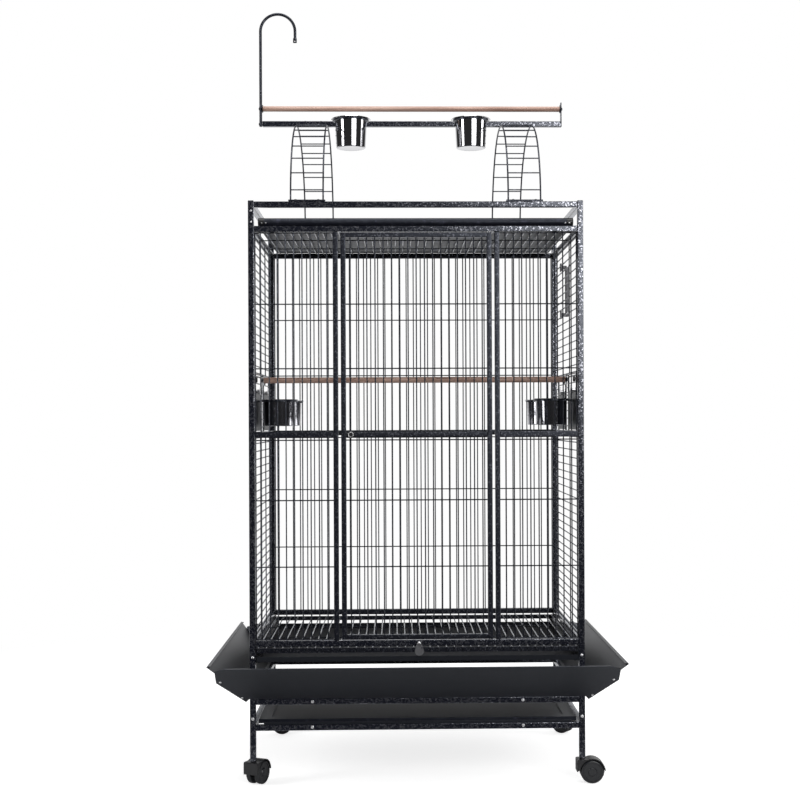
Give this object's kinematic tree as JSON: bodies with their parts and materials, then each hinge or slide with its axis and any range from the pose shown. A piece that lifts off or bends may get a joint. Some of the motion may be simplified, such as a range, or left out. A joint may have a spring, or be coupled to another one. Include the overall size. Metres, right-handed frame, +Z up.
{
  "type": "parrot cage",
  "caption": "Play-top parrot cage on swivel casters: barred door, swing-out feeder doors with cups, sliding grate and trays, seed guards, ladders, perches and toy hook.",
  "frame": {"origin": "on the floor under the middle of the whole cage's bounding box", "axes": "+Z up, the cage's front with its door faces -Y, +X to the viewer's right"},
  "size_m": [0.9824, 0.7514, 1.9212],
  "materials": {
    "hammertone": "black silver-vein hammertone powder coat",
    "satin": "smooth satin black powder coat",
    "plastic": "moulded black nylon",
    "grey_plastic": "moulded dark grey plastic",
    "wood": "bare turned hardwood",
    "steel": "mirror polished stainless steel",
    "pin_steel": "plain bright steel"
  },
  "bodies": {
    "cage": {"left_side_frame": "hammertone", "right_side_frame": "hammertone", "left_lower_grille": "hammertone", "right_lower_grille": "hammertone", "left_upper_grille": "hammertone", "right_upper_grille": "hammertone", "left_front_grille": "hammertone", "right_front_grille": "hammertone", "left_ladder": "hammertone", "right_ladder": "hammertone", "rear_grille": "hammertone", "roof_grille": "hammertone", "crown_front_rail": "hammertone", "crown_rear_rail": "hammertone", "header_rail": "hammertone", "sill_rail": "hammertone", "stand_front_rail": "hammertone", "stand_rear_rail": "hammertone", "shelf_front_rail": "hammertone", "shelf_rear_rail": "hammertone", "play_beam": "hammertone", "hook_post": "hammertone", "play_cup_holder_1": "hammertone", "play_cup_holder_2": "hammertone", "left_runner": "satin", "right_runner": "satin", "shelf": "satin", "front_guard": "satin", "rear_guard": "satin", "left_guard": "satin", "right_guard": "satin", "inner_perch": "wood", "play_perch": "wood", "side_handle": "grey_plastic", "lower_hinge_pin": "pin_steel", "upper_hinge_pin": "pin_steel"},
    "door": {"front_door": "hammertone"},
    "latch": {"door_latch": "plastic"},
    "left_front_feeder": {"left_front_feeder_door": "hammertone"},
    "left_front_feeder_cup": {"left_front_cup": "steel"},
    "left_rear_feeder": {"left_rear_feeder_door": "hammertone"},
    "left_rear_feeder_cup": {"left_rear_cup": "steel"},
    "right_front_feeder": {"right_front_feeder_door": "hammertone"},
    "right_front_feeder_cup": {"right_front_cup": "steel"},
    "right_rear_feeder": {"right_rear_feeder_door": "hammertone"},
    "right_rear_feeder_cup": {"right_rear_cup": "steel"},
    "play_cup_1_body": {"play_cup_1": "steel"},
    "play_cup_2_body": {"play_cup_2": "steel"},
    "lower_tray": {"droppings_tray": "satin"},
    "grate": {"walking_grate": "hammertone"},
    "tab": {"swivel_tab": "grey_plastic"},
    "top_tray": {"play_tray": "satin"},
    "front_left_swivel": {"front_left_caster_hood": "plastic"},
    "front_left_wheel": {"front_left_caster_wheels": "plastic"},
    "front_right_swivel": {"front_right_caster_hood": "plastic"},
    "front_right_wheel": {"front_right_caster_wheels": "plastic"},
    "rear_left_swivel": {"rear_left_caster_hood": "plastic"},
    "rear_left_wheel": {"rear_left_caster_wheels": "plastic"},
    "rear_right_swivel": {"rear_right_caster_hood": "plastic"},
    "rear_right_wheel": {"rear_right_caster_wheels": "plastic"}
  },
  "joints": [
    {"name": "door_hinge", "type": "hinge", "parent": "cage", "child": "door", "pos_m": [0.1745, -0.2805, 0.3459], "axis": [0, 0, 1], "range_deg": [0, 110]},
    {"name": "latch_turn", "type": "hinge", "parent": "door", "child": "latch", "pos_m": [-0.157, -0.2868, 0.835], "axis": [0, -1, 0], "range_deg": [0, 180]},
    {"name": "left_front_feeder_hinge", "type": "hinge", "parent": "cage", "child": "left_front_feeder", "pos_m": [-0.393, -0.203, 0.842], "axis": [0, 0, 1], "range_deg": [0, 100]},
    {"name": "left_front_feeder_cup_lift", "type": "slide", "parent": "left_front_feeder", "child": "left_front_feeder_cup", "axis": [0, 0, 1], "range_m": [0, 0.08]},
    {"name": "left_rear_feeder_hinge", "type": "hinge", "parent": "cage", "child": "left_rear_feeder", "pos_m": [-0.393, 0.017, 0.842], "axis": [0, 0, 1], "range_deg": [0, 100]},
    {"name": "left_rear_feeder_cup_lift", "type": "slide", "parent": "left_rear_feeder", "child": "left_rear_feeder_cup", "axis": [0, 0, 1], "range_m": [0, 0.08]},
    {"name": "right_front_feeder_hinge", "type": "hinge", "parent": "cage", "child": "right_front_feeder", "pos_m": [0.393, -0.203, 0.842], "axis": [0, 0, -1], "range_deg": [0, 100]},
    {"name": "right_front_feeder_cup_lift", "type": "slide", "parent": "right_front_feeder", "child": "right_front_feeder_cup", "axis": [0, 0, 1], "range_m": [0, 0.08]},
    {"name": "right_rear_feeder_hinge", "type": "hinge", "parent": "cage", "child": "right_rear_feeder", "pos_m": [0.393, 0.017, 0.842], "axis": [0, 0, -1], "range_deg": [0, 100]},
    {"name": "right_rear_feeder_cup_lift", "type": "slide", "parent": "right_rear_feeder", "child": "right_rear_feeder_cup", "axis": [0, 0, 1], "range_m": [0, 0.08]},
    {"name": "play_cup_1_lift", "type": "slide", "parent": "cage", "child": "play_cup_1_body", "axis": [0, 0, 1], "range_m": [0, 0.1]},
    {"name": "play_cup_2_lift", "type": "slide", "parent": "cage", "child": "play_cup_2_body", "axis": [0, 0, 1], "range_m": [0, 0.1]},
    {"name": "tray_slide", "type": "slide", "parent": "cage", "child": "lower_tray", "axis": [0, -1, 0], "range_m": [0, 0.5]},
    {"name": "grate_slide", "type": "slide", "parent": "cage", "child": "grate", "axis": [0, -1, 0], "range_m": [0, 0.5]},
    {"name": "tab_turn", "type": "hinge", "parent": "grate", "child": "tab", "pos_m": [0.0037, -0.291, 0.338], "axis": [0, 1, 0], "range_deg": [-90, 90]},
    {"name": "top_tray_slide", "type": "slide", "parent": "cage", "child": "top_tray", "axis": [0, -1, 0], "range_m": [0, 0.5]},
    {"name": "front_left_swivel_turn", "type": "hinge", "parent": "cage", "child": "front_left_swivel", "pos_m": [-0.393, -0.2805, 0.058], "axis": [0, 0, 1], "continuous": true},
    {"name": "front_left_wheel_spin", "type": "hinge", "parent": "front_left_swivel", "child": "front_left_wheel", "pos_m": [-0.38385, -0.25994, 0.028], "axis": [-0.9135, 0.4067, 0], "continuous": true},
    {"name": "front_right_swivel_turn", "type": "hinge", "parent": "cage", "child": "front_right_swivel", "pos_m": [0.393, -0.2805, 0.058], "axis": [0, 0, 1], "continuous": true},
    {"name": "front_right_wheel_spin", "type": "hinge", "parent": "front_right_swivel", "child": "front_right_wheel", "pos_m": [0.4155, -0.2805, 0.028], "axis": [0, 1, 0], "continuous": true},
    {"name": "rear_left_swivel_turn", "type": "hinge", "parent": "cage", "child": "rear_left_swivel", "pos_m": [-0.393, 0.2805, 0.058], "axis": [0, 0, 1], "continuous": true},
    {"name": "rear_left_wheel_spin", "type": "hinge", "parent": "rear_left_swivel", "child": "rear_left_wheel", "pos_m": [-0.37186, 0.28819, 0.028], "axis": [-0.342, 0.9397, 0], "continuous": true},
    {"name": "rear_right_swivel_turn", "type": "hinge", "parent": "cage", "child": "rear_right_swivel", "pos_m": [0.393, 0.2805, 0.058], "axis": [0, 0, 1], "continuous": true},
    {"name": "rear_right_wheel_spin", "type": "hinge", "parent": "rear_right_swivel", "child": "rear_right_wheel", "pos_m": [0.41143, 0.2676, 0.028], "axis": [0.5736, 0.8192, 0], "continuous": true}
  ]
}
